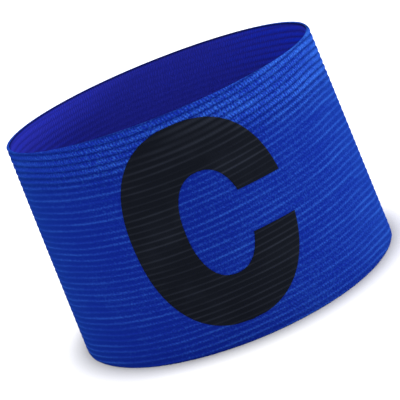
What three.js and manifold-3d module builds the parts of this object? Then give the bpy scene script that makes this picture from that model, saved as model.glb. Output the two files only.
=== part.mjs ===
// A captain's armband: a closed loop of ribbed elastic webbing, with one block letter printed
// on its front. Millimetres, +Z up. The loop stands on its lower edge, centred on the Z axis,
// with its front facing -Y.

import * as THREE from 'three';
import { mergeVertices } from 'three/addons/utils/BufferGeometryUtils.js';
import Module from 'manifold-3d';

// Webbing
const BAND_HEIGHT = 68; // width of the webbing, from edge to edge
const LOOP_LENGTH = 299; // once round the middle of the wall
const BOTTOM_RATIO = 1.11; // width over depth of the loop at its lower edge
const TOP_RATIO = 0.98; // width over depth of the loop at its upper edge
const WALL = 1.4; // thickness over the ribs
const RIB_COUNT = 37;
const RIB_RELIEF = 0.4; // height of the ribs above the grooves between them
const LOOP_STEPS = 48; // flat facets once round the loop

// Printed letter, measured along the webbing
const LETTER_WIDTH = 45;
const LETTER_HEIGHT = 58.6;
const LETTER_RISE = 6.3; // bare webbing below the letter
const LETTER_CURVE = 2.25; // exponent of its rounded outlines, where 2 is an ellipse
const SIDE_STROKE = 15; // stroke at the middle of the letter's left side
const TIP_STROKE = 12.6; // stroke of the two tips on its right side, if they met
const END_STROKE = 14.1; // stroke at the letter's top and bottom
const MOUTH = 12.5; // opening between the two tips
const PRINT_FILM = 0.4; // thickness of the print
const PRINT_GAP = 0.2; // clearance between the print and the webbing
const ARC_STEPS = 32; // straight edges along each curved outline of the letter

// Finish
const WEBBING_BLUE = 0x1434ac;
const PRINT_BLACK = 0x1a1c20;

// The loop seen from above at one height, as an ellipse that starts at the front and runs
// towards +X. Its length is the same at every height, because webbing doesn't stretch by itself.
function planAt(height) {
  const ratio = THREE.MathUtils.lerp(BOTTOM_RATIO, TOP_RATIO, height / BAND_HEIGHT);
  // Ramanujan's perimeter of an ellipse with half axes of ratio and 1
  const perimeter = Math.PI * (3 * (ratio + 1) - Math.sqrt((3 * ratio + 1) * (ratio + 3)));
  const halfDepth = LOOP_LENGTH / perimeter;
  return new THREE.EllipseCurve(0, 0, ratio * halfDepth, halfDepth, -Math.PI / 2, 1.5 * Math.PI);
}

// Moves a point of a plan outwards by offset and lifts it to its height.
function offsetPoint(plan, point, offset, height) {
  const outward = new THREE.Vector2(point.x / plan.xRadius ** 2, point.y / plan.yRadius ** 2);
  outward.setLength(offset).add(point);
  return new THREE.Vector3(outward.x, outward.y, height);
}

// The place of a point of the webbing, by its distance along the webbing from the front's middle.
function onWebbing(along, height, offset) {
  const plan = planAt(height);
  const turn = along / LOOP_LENGTH;
  return offsetPoint(plan, plan.getPointAt(turn - Math.floor(turn)), offset, height);
}

// The ribbed face from the lower edge to the upper one, with each groove and crest raised by lift.
function ribbedFace(lift) {
  const halfPitch = BAND_HEIGHT / RIB_COUNT / 2;
  const face = [];
  for (let step = 0; step <= 2 * RIB_COUNT; step++) {
    const groove = step % 2 === 0;
    face.push({ height: step * halfPitch, offset: WALL / 2 - (groove ? RIB_RELIEF : 0) + lift });
  }
  return face;
}

// A closed wall round the whole loop. Its section goes up the outer face and down the inner one.
function loopWall(outerFace, innerFace) {
  const section = [...outerFace, ...innerFace.slice().reverse()];
  const positions = [];
  for (const { height, offset } of section) {
    const plan = planAt(height);
    for (const point of plan.getSpacedPoints(LOOP_STEPS).slice(0, LOOP_STEPS)) {
      positions.push(...offsetPoint(plan, point, offset, height).toArray());
    }
  }
  const faces = [];
  for (let row = 0; row < section.length; row++) {
    const nextRow = (row + 1) % section.length;
    for (let column = 0; column < LOOP_STEPS; column++) {
      const nextColumn = (column + 1) % LOOP_STEPS;
      const a = row * LOOP_STEPS + column;
      const b = row * LOOP_STEPS + nextColumn;
      const c = nextRow * LOOP_STEPS + nextColumn;
      const d = nextRow * LOOP_STEPS + column;
      faces.push(a, b, c, a, c, d);
    }
  }
  const geometry = new THREE.BufferGeometry();
  geometry.setAttribute('position', new THREE.Float32BufferAttribute(positions, 3));
  geometry.setIndex(faces);
  return geometry;
}

// A rounded outline between a left and a right edge, from the upper tip of the letter round the
// left side to the lower tip. Both tips are cut level, half a mouth from the letter's middle.
function letterArc(left, right, halfHeight) {
  const bend = (value) => Math.sign(value) * Math.abs(value) ** (2 / LETTER_CURVE);
  const start = Math.asin((MOUTH / 2 / halfHeight) ** (LETTER_CURVE / 2));
  const arc = [];
  for (let step = 0; step <= ARC_STEPS; step++) {
    const angle = THREE.MathUtils.lerp(start, 2 * Math.PI - start, step / ARC_STEPS);
    const along = (left + right) / 2 + ((right - left) / 2) * bend(Math.cos(angle));
    arc.push(new THREE.Vector2(along, halfHeight * bend(Math.sin(angle))));
  }
  return arc;
}

// The letter as a flat plate facing the front, through which the webbing's face is cut.
function letterCutter() {
  const reach = LETTER_WIDTH / 2;
  const outer = letterArc(-reach, reach, LETTER_HEIGHT / 2);
  const inner = letterArc(-reach + SIDE_STROKE, reach - TIP_STROKE, LETTER_HEIGHT / 2 - END_STROKE);
  const middle = LETTER_RISE + LETTER_HEIGHT / 2;
  const outline = [...outer, ...inner.reverse()].map(({ x: along, y: up }) => {
    const place = onWebbing(along, middle + up, WALL / 2 + PRINT_GAP);
    return new THREE.Vector2(place.x, place.z);
  });
  const plate = new THREE.ExtrudeGeometry(new THREE.Shape(outline), {
    depth: LOOP_LENGTH / 2, // well past the front
    bevelEnabled: false,
  });
  return plate.rotateX(Math.PI / 2);
}

const wasm = await Module();
wasm.setup();

function toSolid(geometry) {
  const bare = geometry.clone();
  bare.deleteAttribute('normal');
  bare.deleteAttribute('uv');
  const merged = mergeVertices(bare);
  return new wasm.Manifold(new wasm.Mesh({
    numProp: 3,
    vertProperties: Float32Array.from(merged.attributes.position.array),
    triVerts: Uint32Array.from(merged.index.array),
  }));
}

function toGeometry(solid) {
  const mesh = solid.getMesh();
  const geometry = new THREE.BufferGeometry();
  geometry.setAttribute('position', new THREE.Float32BufferAttribute(mesh.vertProperties, 3));
  geometry.setIndex(Array.from(mesh.triVerts));
  return geometry;
}

function webbingBand() {
  const lining = [
    { height: 0, offset: -WALL / 2 },
    { height: BAND_HEIGHT, offset: -WALL / 2 },
  ];
  return loopWall(ribbedFace(0), lining);
}

// The print follows the ribs: a thin ribbed wall round the loop, kept only inside the letter.
function printedLetter() {
  const film = loopWall(ribbedFace(PRINT_GAP + PRINT_FILM), ribbedFace(PRINT_GAP));
  return toGeometry(toSolid(film).intersect(toSolid(letterCutter())));
}

function namedMesh(name, geometry, color, roughness) {
  geometry.computeVertexNormals();
  const material = new THREE.MeshStandardMaterial({ color, roughness, metalness: 0 });
  const mesh = new THREE.Mesh(geometry, material);
  mesh.name = name;
  return mesh;
}

const armband = new THREE.Group();
armband.add(
  namedMesh('webbing_band', webbingBand(), WEBBING_BLUE, 0.8),
  namedMesh('printed_letter', printedLetter(), PRINT_BLACK, 0.65),
);

export default armband;
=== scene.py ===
# A captain's armband: a loop of ribbed elastic webbing with a printed block letter, standing on
# its lower edge. Metres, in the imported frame: +Z up, the printed front facing -Y. Left and right
# are as the letter is read, and the lining is the webbing's back, inside the loop.

import math
from collections import namedtuple

import bmesh
import bpy
import numpy as np
from mathutils import Matrix, Vector


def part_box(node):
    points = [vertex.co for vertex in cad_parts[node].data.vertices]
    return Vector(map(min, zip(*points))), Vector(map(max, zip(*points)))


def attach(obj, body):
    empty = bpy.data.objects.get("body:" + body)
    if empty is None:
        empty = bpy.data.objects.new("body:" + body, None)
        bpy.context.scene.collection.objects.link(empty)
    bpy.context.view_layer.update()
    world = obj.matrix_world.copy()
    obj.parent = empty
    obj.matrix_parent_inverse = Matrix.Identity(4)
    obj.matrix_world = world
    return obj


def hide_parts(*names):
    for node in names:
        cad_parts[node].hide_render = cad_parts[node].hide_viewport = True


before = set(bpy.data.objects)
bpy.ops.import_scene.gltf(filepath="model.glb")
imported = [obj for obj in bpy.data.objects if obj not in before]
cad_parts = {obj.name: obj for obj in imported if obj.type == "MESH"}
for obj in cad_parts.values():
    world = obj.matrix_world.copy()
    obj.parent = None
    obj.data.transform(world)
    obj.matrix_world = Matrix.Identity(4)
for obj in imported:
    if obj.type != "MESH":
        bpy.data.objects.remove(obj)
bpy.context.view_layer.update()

MM = 0.001

# Webbing, with the sizes of the frame's solids
band_low, band_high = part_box("webbing_band")
BAND_HEIGHT = band_high[2] - band_low[2]
LOOP_LENGTH = 299 * MM  # once round the middle of the wall
BOTTOM_RATIO = 1.11  # width over depth of the loop at its lower edge
TOP_RATIO = 0.98  # and at its upper edge
WALL = 1.4 * MM  # thickness over the ribs
RIB_COUNT = 37
RIB_PITCH = BAND_HEIGHT / RIB_COUNT
RIB_RELIEF = 0.4 * MM
LINING_RELIEF = 0.07 * MM  # the ribs show more softly on the back of the webbing
SELVEDGE = 2.2 * MM  # stretch by each edge where the webbing grows thinner
SELVEDGE_LOSS = 0.5 * MM
RIM_FULLNESS = 0.8  # power of the sine that rounds the edges: a round one has 1, a fuller one less

# Size of the ribs: thin lines on most of the webbing, and as thick as ropes by its upper edge
LOW_RELIEF = 0.25  # share of the relief that the thin ribs have
TOP_RELIEF = 0.7  # and that the thick ones have
LOW_SHARPNESS = 5.0  # power of the sine that shapes the thin ribs: wide grooves
TOP_SHARPNESS = 0.9  # and the thick ones: narrow grooves
ROPE_START = 0.77  # share of the height where the ribs start to grow thick
ROPE_END = 0.88  # and where they are as thick as ropes
ROPE_TILT = 0.035  # how much lower both lie on the right, and higher on the left

# Run of the ribs, which is slightly off level
RIB_LEAN = 1.45 * MM  # how far the ribs of the front rise to the right
RIB_SHIFT = 0.5 * MM  # how far they sink at the front's middle
RIB_FAN = 1.4 * MM  # how far they draw together there, from above and below
RIB_DROP = 2.3 * MM  # how far they come down towards the loop's sides
DROP_START = 44 * MM  # where that starts, along the webbing from the front's middle
DROP_END = 72 * MM  # and where it ends
DROP_TILT = 0.25  # share by which they come down more on the right, and less on the left
DROP_FADE = 0.3  # share by which they come down less by the upper edge, and more by the lower

# Unevenness in waves, as rows of: size, waves round the loop, phase, change of phase to the top
LOOP_WAVES = ((0.10 * MM, 3, 0.15, 0.2), (0.07 * MM, 5, 0.6, -0.3))
RIB_WAVES = ((0.08 * MM, 4, 0.0, 2.1), (0.06 * MM, 9, 0.0, 5.3))
FOOT_SHARE = 0.4  # share of the loop's waves that its standing edge has

# Yarns and colours of the webbing, with the light and shade of its ribs and yarns painted in
YARN_COUNT = 340  # crosswise yarns once round the loop
YARN_SLANT = 0.7  # yarn pitches that a yarn runs to the left while it crosses one rib upwards
YARN_STEP = 0.18  # yarn pitches that the yarns of the next rib up lie further left
YARN_STRAY = 2.0  # yarn pitches that the yarns stray by
LOW_YARNS = 0.4  # share of their painted light and shade that the yarns have on the thin ribs
YARN_LEVEL = 0.3  # height on the yarns where their painted shade leaves the colour as it is
RIB_LEVEL = 0.6  # the same on the ribs, for the painted shade that darkens their grooves and lightens their crests
TONE_LENGTH = 26 * MM  # stretch of a rib over which it grows lighter or darker
TONE_CONTRAST = 2.4
TONE_ROW = 97.3  # step in the noise from one rib to the next, so that they differ
ROPE_SIDE_LIGHT = 0.5  # painted light: how much lighter the thick ribs are on the right, and darker on the left
WEBBING_SIDE_LIGHT = 0.05  # painted light: the same for the whole webbing
DYE_SPREAD = 0.2  # unevenness of the dye
GRAIN = 0.7  # unevenness of the fibres' colour
FUZZ = 0.25  # height of the loose fibres, as a share of the yarns'
BACK_START = 18 * MM  # how far left and right of the loop's middle its lining starts to show ribs in painted light and shade
BACK_END = 45 * MM  # and where they show in full
EDGE_LINE = 1.0 * MM  # height of the dark line along the lining's upper edge
EDGE_FULL = 0.3 * MM  # height of its darkest part
DARK_EDGE = (0.003, 0.004, 0.04, 1)

# Printed letter, measured along the webbing
LETTER_WIDTH = 45 * MM
LETTER_HEIGHT = 58.6 * MM
LETTER_RISE = 6.3 * MM  # bare webbing below the letter
LETTER_MIDDLE = LETTER_RISE + LETTER_HEIGHT / 2  # its height above the lower edge
LETTER_CURVE = 2.25  # exponent of its rounded outlines, where 2 is an ellipse
SIDE_STROKE = 15 * MM
TIP_STROKE = 12.6 * MM  # stroke of the two tips on its right side, if they met
END_STROKE = 14.1 * MM
MOUTH = 12.5 * MM  # opening between the two tips
FILM_TOP = 0.12 * MM  # outer face of the print above the crests
FILM = 0.08 * MM
GROOVE_FILL = 0.25  # share of each groove that the print bridges
WEAR = 0.6  # unevenness of the ink
INK_HIGHLIGHT_SHARPNESS = 2.0  # power of the ribs' height, so that the ink's painted highlight keeps to their crests
INK_RELIEF = 0.06 * MM  # height of the ink's fine bumps
INK_FUZZ = 0.4  # share of them that is fuzz: the rest is yarns

# Fineness of the noises, in patches for each metre
STRAY_PATCHES = 420.0
DYE_PATCHES = 60.0
GRAIN_PATCHES = 2200.0
FUZZ_PATCHES = 3500.0
WEAR_PATCHES = 90.0
INK_FUZZ_PATCHES = 3000.0

# Mesh
PLAN_STEPS = 1440  # chords once round the loop, for measuring along it
COLUMNS = 180  # mesh columns once round the loop
RIM_STEPS = 4  # steps of the mesh over each rounded edge
FACE_ROWS = 9  # mesh rows for each rib
LINING_ROWS = 4
LIMB_COLUMNS = 28  # mesh columns across each half of the letter
ROW_MARGIN = 0.05 * MM  # least distance of other mesh rows from the letter's top and bottom
WELD_REACH = 0.002 * MM  # points of the letter that are nearer than this become one
SHORTEST_EDGE = 0.001 * MM  # edges of the letter that are shorter are left out

# Camera, fitted to the photograph
VIEW_DISTANCE = 335 * MM
VIEW_ELEVATION = math.radians(15.2)
VIEW_ROLL = math.radians(22.1)
AIM_RIGHT = 0.74 * MM  # from the middle of the band to the middle of the picture
AIM_DOWN = 4.05 * MM
LENS = 99.0
SENSOR = 36.0

# Stage
FLOOR_SPAN = 8.0  # half the width of the floor
CONTACT_SHADE = 8 * MM  # how far the painted contact shadow at the band's foot reaches over the floor
CORNER_OPENNESS = 0.5  # of the floor right by an upright wall, where it is darkest
SKY_LIGHT = 1.7
SUN_PLACE = (0.75, -0.02, 0.06)  # low on the right
SUN_LIGHT = 2.85
SUN_SPREAD = math.radians(14)

# What a material reads from the webbing's pattern
Weave = namedtuple("Weave", "yarn rib tone rise rope side")


def plan_axes(height):
    """Half width and half depth of the loop's middle line. It is equally long at every height."""
    ratio = BOTTOM_RATIO + (TOP_RATIO - BOTTOM_RATIO) * height / BAND_HEIGHT
    # Ramanujan's perimeter of an ellipse with half axes of ratio and 1
    perimeter = math.pi * (3 * (ratio + 1) - math.sqrt((3 * ratio + 1) * (ratio + 3)))
    half_depth = LOOP_LENGTH / perimeter
    return ratio * half_depth, half_depth


def plan_points(along, height, offset):
    """Points at distances along the webbing from the front's middle, moved outwards by offset."""
    half_width, half_depth = plan_axes(height)
    angles = np.linspace(-math.pi / 2, 1.5 * math.pi, PLAN_STEPS + 1)
    x, y = half_width * np.cos(angles), half_depth * np.sin(angles)
    length = np.concatenate([[0], np.cumsum(np.hypot(np.diff(x), np.diff(y)))])
    angle = np.interp(np.mod(along / LOOP_LENGTH, 1.0), length / length[-1], angles)
    x, y = half_width * np.cos(angle), half_depth * np.sin(angle)
    normal = np.stack([x / half_width**2, y / half_depth**2], axis=1)
    normal /= np.linalg.norm(normal, axis=1)[:, None]
    x, y = x + normal[:, 0] * offset, y + normal[:, 1] * offset
    return np.stack([x, y, np.full(len(x), height)], axis=1)


def turn_at(along):
    """The turn round the loop from the front's middle, as an angle that grows to the right."""
    return 2 * math.pi * along / LOOP_LENGTH


def waves(along, height, rows):
    """The sum of waves that close on themselves once round the loop."""
    rise = height / BAND_HEIGHT
    total = 0.0
    for size, count, phase, twist in rows:
        turns = count * along / LOOP_LENGTH + phase + twist * rise
        total = total + size * np.sin(2 * math.pi * turns)
    return total


def unevenness(along, height):
    """How far the standing loop bulges out at a place, more and more towards its upper edge."""
    share = FOOT_SHARE + (1 - FOOT_SHARE) * height / BAND_HEIGHT
    return waves(along, height, LOOP_WAVES) * share


def rib_place(along, height):
    """Where a point lies across the ribs, which run slightly off level. The edges cut them off."""
    turn = turn_at(along)
    above = 2 * height / BAND_HEIGHT - 1  # -1 at the lower edge, 1 at the upper one
    run = RIB_LEAN * np.sin(turn) - (RIB_SHIFT + RIB_FAN * above) * np.cos(2 * turn)
    run = run * (1 + np.cos(turn)) / 2
    away = np.abs(np.mod(along / LOOP_LENGTH + 0.5, 1.0) - 0.5) * LOOP_LENGTH
    side = np.clip((away - DROP_START) / (DROP_END - DROP_START), 0, 1)
    drop = RIB_DROP * (1 + DROP_TILT * np.sin(turn)) * (1 - DROP_FADE * above)
    run = run - drop * side * side * (3 - 2 * side)
    return height - run - waves(along, height, RIB_WAVES)


def rope(along, height):
    """0 where the ribs are thin, 1 where they are as thick as ropes by the upper edge."""
    rise = height / BAND_HEIGHT + ROPE_TILT * np.sin(turn_at(along))
    return np.clip((rise - ROPE_START) / (ROPE_END - ROPE_START), 0, 1)


def crest(along, height):
    """Height of the ribs at places on the webbing, from 0 in a groove to 1 on a crest."""
    across = np.abs(np.sin(math.pi * rib_place(along, height) / RIB_PITCH))
    return across ** (LOW_SHARPNESS + (TOP_SHARPNESS - LOW_SHARPNESS) * rope(along, height))


def relief(along, height):
    return RIB_RELIEF * (LOW_RELIEF + (TOP_RELIEF - LOW_RELIEF) * rope(along, height))


def webbing_row(along, height, offset):
    return plan_points(along, height, offset + unevenness(along, height))


def face_offset(along, height):
    return WALL / 2 - relief(along, height) * (1 - crest(along, height))


def lining_offset(along, height):
    near_edge = max(0.0, 1 - min(height, BAND_HEIGHT - height) / SELVEDGE)
    loss = SELVEDGE_LOSS * near_edge**2
    return -WALL / 2 + LINING_RELIEF * (1 - crest(along, height)) + loss


def section_heights(rows_per_rib):
    """The mesh rows' heights, the lower edge's and the upper edge's left out."""
    rows = RIB_COUNT * rows_per_rib
    return [BAND_HEIGHT * row / rows for row in range(1, rows)]


def rim_rows(face_row, lining_row, edge):
    """The rows over one rounded edge, from the face's outermost row to the lining's."""
    face_height, out, _ = face_row
    lining_height, back, _ = lining_row
    middle, reach = (out + back) / 2, (out - back) / 2
    rows = []
    for step in range(1, RIM_STEPS):
        turn = math.pi * step / RIM_STEPS
        is_lining = step > RIM_STEPS / 2
        start = lining_height if is_lining else face_height
        height = start + (edge - start) * math.sin(turn) ** RIM_FULLNESS
        rows.append((height, middle + reach * math.cos(turn), is_lining))
    return rows


def band_section(along):
    """(height, offsets, is lining) round the wall: up the face, over the rim, down the lining."""
    face = [(z, face_offset(along, z), False) for z in section_heights(FACE_ROWS)]
    lining = [(z, lining_offset(along, z), True) for z in reversed(section_heights(LINING_ROWS))]
    upper = rim_rows(face[-1], lining[0], BAND_HEIGHT)
    lower = rim_rows(face[0], lining[-1], 0.0)
    return face + upper + lining + lower[::-1]


def grid_faces(rows, columns, closed, first=0):
    """Quads between rows and columns of points, which are counted from first. In a closed grid
    the last row and column meet the first ones."""
    faces = []
    for row in range(rows if closed else rows - 1):
        above = (row + 1) % rows
        for column in range(columns if closed else columns - 1):
            right = (column + 1) % columns
            faces.append((
                first + row * columns + column,
                first + row * columns + right,
                first + above * columns + right,
                first + above * columns + column,
            ))
    return faces


def mesh_object(name, points, faces):
    mesh = bpy.data.meshes.new(name)
    mesh.from_pydata([tuple(point) for point in points], [], faces)
    mesh.validate()
    piece = bpy.data.objects.new(name, mesh)
    bpy.context.collection.objects.link(piece)
    return piece


def map_webbing(mesh, flat):
    """A UV map in millimetres: along the webbing and across its ribs. flat has a row for each
    face corner."""
    layer = mesh.uv_layers.new(name="webbing")
    layer.data.foreach_set("uv", (np.asarray(flat) / MM).astype(np.float32).ravel())


def shade_smooth(mesh):
    mesh.polygons.foreach_set("use_smooth", np.ones(len(mesh.polygons), bool))


def make_band():
    # The first column is at the back, where the pattern's seam doesn't show
    along = LOOP_LENGTH * (0.5 + np.arange(COLUMNS + 1) / COLUMNS)
    section = band_section(along[:-1])
    points = np.concatenate([webbing_row(along[:-1], z, offset) for z, offset, _ in section])
    faces = grid_faces(len(section), COLUMNS, closed=True)
    band = mesh_object("ribbed_webbing", points, faces)
    rows = [np.stack([along, rib_place(along, z)], axis=1) for z, _, _ in section]
    flat = []
    for row, low in enumerate(rows):
        high = rows[(row + 1) % len(rows)]
        flat.append(np.stack([low[:-1], low[1:], high[1:], high[:-1]], axis=1))
    map_webbing(band.data, np.concatenate(flat).reshape(-1, 2))
    shade_smooth(band.data)
    lined = np.repeat([int(lining) for _, _, lining in section], COLUMNS)
    band.data.polygons.foreach_set("material_index", lined.astype(np.int32))
    return band


def outline_at(up, left, right, half_height):
    """Left and right end of one of the letter's rounded outlines, at a height over its middle."""
    share = max(0.0, 1 - (abs(up) / half_height) ** LETTER_CURVE) ** (1 / LETTER_CURVE)
    middle, reach = (left + right) / 2, (right - left) / 2 * share
    return middle - reach, middle + reach


def letter_ends(up, left_half):
    """Where one half of the letter starts and ends along the webbing, at a height."""
    reach, top = LETTER_WIDTH / 2, LETTER_HEIGHT / 2
    outer = outline_at(up, -reach, reach, top)
    inner = outline_at(up, SIDE_STROKE - reach, reach - TIP_STROKE, top - END_STROKE)
    return (outer[0], inner[0]) if left_half else (inner[1], outer[1])


def letter_heights():
    """The mesh rows' heights over the letter's middle. Its ends, hole and mouth have rows too."""
    top, lip = LETTER_HEIGHT / 2, MOUTH / 2
    hole = top - END_STROKE
    rows = [z - LETTER_MIDDLE for z in section_heights(FACE_ROWS)]
    inside = [up for up in rows if abs(up) < top - ROW_MARGIN]
    return np.array(sorted(set(inside + [-top, -hole, -lip, lip, hole, top])))


def make_letter():
    ups, lip = letter_heights(), MOUTH / 2
    limbs = ((True, ups), (False, ups[ups <= -lip]), (False, ups[ups >= lip]))
    shares = np.linspace(0, 1, LIMB_COLUMNS + 1)
    points, faces, flat = [], [], []
    for left_half, heights in limbs:
        faces += grid_faces(len(heights), LIMB_COLUMNS + 1, closed=False, first=len(points))
        for up in heights:
            start, end = letter_ends(up, left_half)
            along, height = start + (end - start) * shares, LETTER_MIDDLE + up
            sunk = relief(along, height) * (1 - GROOVE_FILL) * (1 - crest(along, height))
            points += list(webbing_row(along, height, WALL / 2 + FILM_TOP - sunk))
            flat += list(np.stack([along, rib_place(along, height)], axis=1))
    letter = mesh_object("printed_block_letter", points, faces)
    corners = np.zeros(len(letter.data.loops), np.int32)
    letter.data.loops.foreach_get("vertex_index", corners)
    map_webbing(letter.data, np.array(flat)[corners])
    weld(letter.data)
    solidify(letter)
    shade_smooth(letter.data)
    return letter


def weld(mesh):
    """Joins the letter's two halves where they meet above and below its hole."""
    work = bmesh.new()
    work.from_mesh(mesh)
    bmesh.ops.remove_doubles(work, verts=work.verts, dist=WELD_REACH)
    bmesh.ops.dissolve_degenerate(work, edges=work.edges, dist=SHORTEST_EDGE)
    work.to_mesh(mesh)
    work.free()


def solidify(piece):
    """Gives the letter's sheet its thickness, inwards."""
    film = piece.modifiers.new("film", "SOLIDIFY")
    film.thickness = FILM
    film.offset = -1
    bpy.context.view_layer.update()
    graph = bpy.context.evaluated_depsgraph_get()
    piece.data = bpy.data.meshes.new_from_object(piece.evaluated_get(graph))
    piece.modifiers.clear()


class Nodes:
    """A material's node tree, with short calls for the nodes that the fabrics need."""

    def __init__(self, name):
        self.material = bpy.data.materials.new(name)
        self.material.use_nodes = True
        self.tree = self.material.node_tree
        self.shader = self.tree.nodes["Principled BSDF"]

    def add(self, kind, inputs=(), **settings):
        node = self.tree.nodes.new(kind)
        for key, value in settings.items():
            setattr(node, key, value)
        for slot, value in dict(inputs).items():
            if isinstance(value, bpy.types.NodeSocket):
                self.tree.links.new(value, node.inputs[slot])
            else:
                node.inputs[slot].default_value = value
        return node

    def math(self, operation, *values):
        return self.add("ShaderNodeMath", enumerate(values), operation=operation).outputs[0]

    def blend(self, share, low, high):
        sockets = {"Factor": share, 6: low, 7: high}
        return self.add("ShaderNodeMix", sockets, data_type="RGBA").outputs[2]

    def times(self, color, gain):
        sockets = {0: color, "Scale": gain}
        return self.add("ShaderNodeVectorMath", sockets, operation="SCALE").outputs[0]

    def scale(self, value, low, high, new_low=0.0, new_high=1.0):
        """value moved from the range low to high into the new one, and held inside it."""
        sockets = enumerate((value, low, high, new_low, new_high))
        return self.add("ShaderNodeMapRange", sockets).outputs[0]

    def split(self, vector):
        """The vector's three parts."""
        return self.add("ShaderNodeSeparateXYZ", {0: vector}).outputs

    def place(self):
        """The place on the object, in metres."""
        return self.add("ShaderNodeTexCoord").outputs["Object"]

    def noise(self, scale, detail, place=None):
        sockets = {"Vector": place or self.place(), "Scale": scale, "Detail": detail}
        return self.add("ShaderNodeTexNoise", sockets).outputs["Fac"]

    def speckle(self, scale, detail, spread):
        """Noise around 0, from minus half the spread to plus half of it."""
        return self.math("MULTIPLY_ADD", self.noise(scale, detail), spread, -0.5 * spread)

    def yarns(self, along, across, number):
        """1 on top of a crosswise yarn, 0 between two. across goes from 0 to 1 over one rib, and
        number counts the ribs."""
        place = self.math("DIVIDE", along, LOOP_LENGTH / MM / YARN_COUNT)
        place = self.math("MULTIPLY_ADD", across, YARN_SLANT, place)
        place = self.math("MULTIPLY_ADD", number, YARN_STEP, place)
        stray = self.noise(STRAY_PATCHES, detail=3.0)
        place = self.math("MULTIPLY_ADD", stray, YARN_STRAY, place)
        yarn = self.math("COSINE", self.math("MULTIPLY", place, 2 * math.pi))
        return self.math("MULTIPLY_ADD", yarn, 0.5, 0.5)

    def tones(self, along, number, lit_side):
        """How light a stretch of one rib is, around 0.5: a random tone, and painted light that
        makes the thick ribs lighter on the loop's right side and darker on its left.
        """
        row = self.math("MULTIPLY", number, TONE_ROW)
        spot = self.add("ShaderNodeCombineXYZ", {0: along, 1: row}).outputs[0]
        tone = self.noise(MM / TONE_LENGTH, detail=1.0, place=spot)
        tone = self.math("MULTIPLY_ADD", tone, TONE_CONTRAST, 0.5 * (1 - TONE_CONTRAST))
        # painted light: the thick ribs lighter on the loop's right side, darker on its left
        return self.math("MULTIPLY_ADD", lit_side, ROPE_SIDE_LIGHT, tone)

    def weave(self):
        """The webbing's pattern. yarn and rib go from 0 between neighbours to 1 on their tops,
        tone is how light a stretch of one rib is, around 0.5, with painted light that makes the
        thick ribs lighter on the right and darker on the left, rise is 1 at the upper edge, rope is
        1 on the thick ribs, and side is 1 at the loop's right side and -1 at its left one."""
        uv = self.split(self.add("ShaderNodeUVMap", uv_map="webbing").outputs[0])
        along, up = uv[0], uv[1]
        rise = self.math("DIVIDE", self.split(self.place())[2], BAND_HEIGHT)
        side = self.math("SINE", self.math("MULTIPLY", along, 2 * math.pi * MM / LOOP_LENGTH))
        tilted = self.math("MULTIPLY_ADD", side, ROPE_TILT, rise)
        rope = self.scale(tilted, ROPE_START, ROPE_END)
        turn = self.math("DIVIDE", up, RIB_PITCH / MM)
        across, number = self.math("FRACT", turn), self.math("FLOOR", turn)
        rib = self.math("SINE", self.math("MULTIPLY", across, math.pi))
        rib = self.math("POWER", rib, self.scale(rope, 0.0, 1.0, LOW_SHARPNESS, TOP_SHARPNESS))
        yarn = self.yarns(along, across, number)
        tone = self.tones(along, number, self.math("MULTIPLY", side, rope))
        return Weave(yarn, rib, tone, rise, rope, side)

    def bump(self, height, distance):
        normal = self.add("ShaderNodeBump", {"Height": height, "Distance": distance}).outputs[0]
        self.tree.links.new(normal, self.shader.inputs["Normal"])

    def color(self, socket):
        self.tree.links.new(socket, self.shader.inputs["Base Color"])

    def set(self, **values):
        for name, value in values.items():
            self.shader.inputs[name.replace("_", " ")].default_value = value


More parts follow.
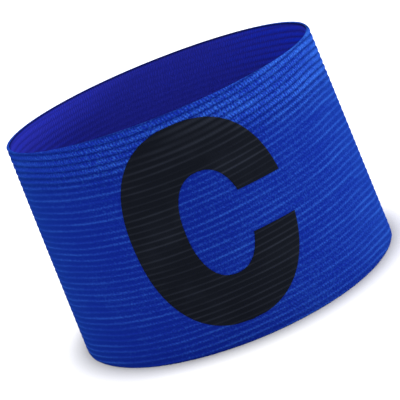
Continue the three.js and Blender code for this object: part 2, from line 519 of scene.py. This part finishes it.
def webbing_material(name, colors, ribs, yarns, ribbed, thickness, sheen, groove_shade, back=False):
    """Dyed polyester ribs wrapped in crosswise yarn, with the light and shade of their relief
    painted into the colour. colors are those of the grooves, a painted shade, of the ribs, and of a
    painted highlight along the crests. ribs says how strongly the crests are painted lighter, yarns
    how much the yarns stand out in painted light and shade, ribbed how far the yarns keep to the
    ribs' tops, thickness how high they are, and groove_shade how much painted shade darkens the
    grooves and lightens the crests where the ribs show well: if they are thick, and on the back of
    the webbing at the loop's two sides, where alone its crests are painted lighter. The whole
    webbing is painted lighter on the loop's right side and darker on its left. The back's upper
    edge is dark."""
    nodes = Nodes(name)
    weave = nodes.weave()
    shade, body, light = colors
    on_ribs = nodes.math("MULTIPLY_ADD", weave.rib, ribbed, 1 - ribbed)
    raised = nodes.math("MULTIPLY", weave.yarn, on_ribs)
    # line is a painted highlight along each rib's crest
    line, painted_relief_mask = nodes.math("MULTIPLY", weave.rib, weave.tone), weave.rope
    if back:
        # on the back, the ribs' painted highlight and shade show only towards the loop's two sides
        from_middle = nodes.math("ABSOLUTE", nodes.split(nodes.place())[0])
        painted_relief_mask = nodes.scale(from_middle, BACK_START, BACK_END)
        line = nodes.math("MULTIPLY", line, painted_relief_mask)
    dye_and_side_light = nodes.speckle(DYE_PATCHES, detail=3.0, spread=DYE_SPREAD)
    # painted light: the webbing lighter on the loop's right side and darker on its left, on top of
    # the dye's unevenness
    dye_and_side_light = nodes.math("MULTIPLY_ADD", weave.side, WEBBING_SIDE_LIGHT, dye_and_side_light)
    grain = nodes.speckle(GRAIN_PATCHES, detail=2.0, spread=GRAIN)
    grain = nodes.math("MULTIPLY", grain, nodes.math("ADD", weave.rope, 1.0))
    lift = nodes.math("MULTIPLY_ADD", line, ribs, nodes.math("ADD", dye_and_side_light, grain))
    # grooves painted darker with the shade colour; crest lines, dye and grain pushed toward the
    # painted highlight colour
    color = nodes.blend(lift, nodes.blend(weave.rib, shade, body), light)
    # painted light and shade of the yarns' relief, stronger on the thick ribs
    share = nodes.scale(weave.rope, 0.0, 1.0, LOW_YARNS * yarns, yarns)
    gain = nodes.math("MULTIPLY_ADD", share, nodes.math("SUBTRACT", raised, YARN_LEVEL), 1.0)
    # painted shade in the grooves, which also lightens the crests, where the ribs show well
    over_level = nodes.math("SUBTRACT", weave.rib, RIB_LEVEL)
    gain = nodes.math("MULTIPLY_ADD", nodes.math("MULTIPLY", painted_relief_mask, groove_shade), over_level, gain)
    color = nodes.times(color, gain)
    if back:
        low, high = 1 - EDGE_LINE / BAND_HEIGHT, 1 - EDGE_FULL / BAND_HEIGHT
        color = nodes.blend(nodes.scale(weave.rise, low, high), color, DARK_EDGE)
    nodes.color(color)
    fibres = nodes.noise(FUZZ_PATCHES, detail=2.0)
    nodes.bump(nodes.math("MULTIPLY_ADD", fibres, FUZZ, raised), thickness)
    nodes.set(Roughness=0.7, Specular_IOR_Level=0.0)
    nodes.set(Sheen_Weight=sheen, Sheen_Roughness=0.5, Sheen_Tint=(0.06, 0.42, 1, 1))
    return nodes.material


def print_material():
    """Matte black ink that has soaked into the ribs, uneven in patches, and painted lighter on the
    crests.
    """
    nodes = Nodes("black_print")
    weave = nodes.weave()
    patch = nodes.speckle(WEAR_PATCHES, detail=4.0, spread=WEAR)
    crests = nodes.math("POWER", weave.rib, INK_HIGHLIGHT_SHARPNESS)
    # painted highlight on the ribs' crests, plus the ink's unevenness in patches
    patchy_and_highlit = nodes.math("MULTIPLY_ADD", crests, weave.tone, patch)
    ink, faded_and_highlit = (0.0047, 0.0057, 0.0088, 1), (0.0135, 0.016, 0.024, 1)
    nodes.color(nodes.blend(patchy_and_highlit, ink, faded_and_highlit))
    raised = nodes.math("MULTIPLY", weave.yarn, weave.rib)
    raised = nodes.math("MULTIPLY", raised, 1 - INK_FUZZ)
    fuzz = nodes.noise(INK_FUZZ_PATCHES, detail=2.0)
    nodes.bump(nodes.math("MULTIPLY_ADD", fuzz, INK_FUZZ, raised), INK_RELIEF)
    nodes.set(Roughness=0.62, Specular_IOR_Level=0.0)
    return nodes.material


def floor_material():
    """A pale floor with a painted contact shadow: its colour greys a little close to the band's
    foot.
    """
    nodes = Nodes("pale_floor")
    contact = nodes.add("ShaderNodeAmbientOcclusion", {"Distance": CONTACT_SHADE}, samples=8)
    open_share = nodes.scale(contact.outputs["AO"], CORNER_OPENNESS, 1.0)
    # painted shadow colour right by the foot, and the floor's own pale colour
    nodes.color(nodes.blend(open_share, (0.44, 0.44, 0.44, 1), (0.9, 0.9, 0.9, 1)))
    nodes.set(Roughness=0.9, Specular_IOR_Level=0.1)
    return nodes.material


def make_floor():
    reach = FLOOR_SPAN
    corners = [(-reach, -reach, 0), (reach, -reach, 0), (reach, reach, 0), (-reach, reach, 0)]
    floor = mesh_object("floor", corners, [(0, 1, 2, 3)])
    floor.data.materials.append(floor_material())


def make_lights():
    """An even white sky, and a soft sun that shines from its place towards the band."""
    world = bpy.data.worlds.new("studio")
    world.use_nodes = True
    backdrop = world.node_tree.nodes["Background"]
    backdrop.inputs["Color"].default_value = (1, 1, 1, 1)
    backdrop.inputs["Strength"].default_value = SKY_LIGHT
    bpy.context.scene.world = world
    lamp = bpy.data.lights.new("key", "SUN")
    lamp.energy, lamp.angle = SUN_LIGHT, SUN_SPREAD
    light = bpy.data.objects.new("key", lamp)
    light.rotation_euler = (-Vector(SUN_PLACE)).to_track_quat("-Z", "Y").to_euler()
    bpy.context.collection.objects.link(light)


def make_camera():
    """Looks at the band from a little above, rolled so that the band leans as in the photograph."""
    target = Vector((0, 0, BAND_HEIGHT / 2))
    ahead = Vector((0, math.cos(VIEW_ELEVATION), -math.sin(VIEW_ELEVATION)))
    level = Vector((1, 0, 0))
    rise = Vector((0, math.sin(VIEW_ELEVATION), math.cos(VIEW_ELEVATION)))
    right = level * math.cos(VIEW_ROLL) - rise * math.sin(VIEW_ROLL)
    up = level * math.sin(VIEW_ROLL) + rise * math.cos(VIEW_ROLL)
    place = target - ahead * VIEW_DISTANCE
    back = (place - (target + right * AIM_RIGHT - up * AIM_DOWN)).normalized()
    right = up.cross(back).normalized()
    up = back.cross(right)
    data = bpy.data.cameras.new("camera")
    data.lens, data.sensor_width, data.clip_start = LENS, SENSOR, 0.01
    camera = bpy.data.objects.new("camera", data)
    turn = Matrix((right, up, back)).transposed().to_4x4()
    camera.matrix_world = Matrix.Translation(place) @ turn
    bpy.context.collection.objects.link(camera)
    bpy.context.scene.camera = camera


make_camera()
make_floor()
make_lights()
bpy.context.scene.view_settings.view_transform = "Standard"

band = make_band()
# colors: a painted shade for the grooves, the ribs' own colour, and a painted highlight for the
# crests
band.data.materials.append(webbing_material(
    "blue_ribs",
    colors=((0.003, 0.0102, 0.163, 1), (0.004, 0.013, 0.178, 1), (0.028, 0.12, 0.465, 1)),
    ribs=0.27, yarns=0.65, ribbed=1.0, thickness=0.08 * MM, sheen=0.065, groove_shade=0.25))
band.data.materials.append(webbing_material(
    "blue_lining",
    colors=((0.0135, 0.0165, 0.222, 1), (0.0135, 0.017, 0.232, 1), (0.004, 0.018, 0.38, 1)),
    ribs=0.6, yarns=0.35, ribbed=0.3, thickness=0.12 * MM, sheen=0.0, groove_shade=0.3, back=True))
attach(band, "root")
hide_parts("webbing_band")

letter = make_letter()
letter.data.materials.append(print_material())
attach(letter, "root")
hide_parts("printed_letter")
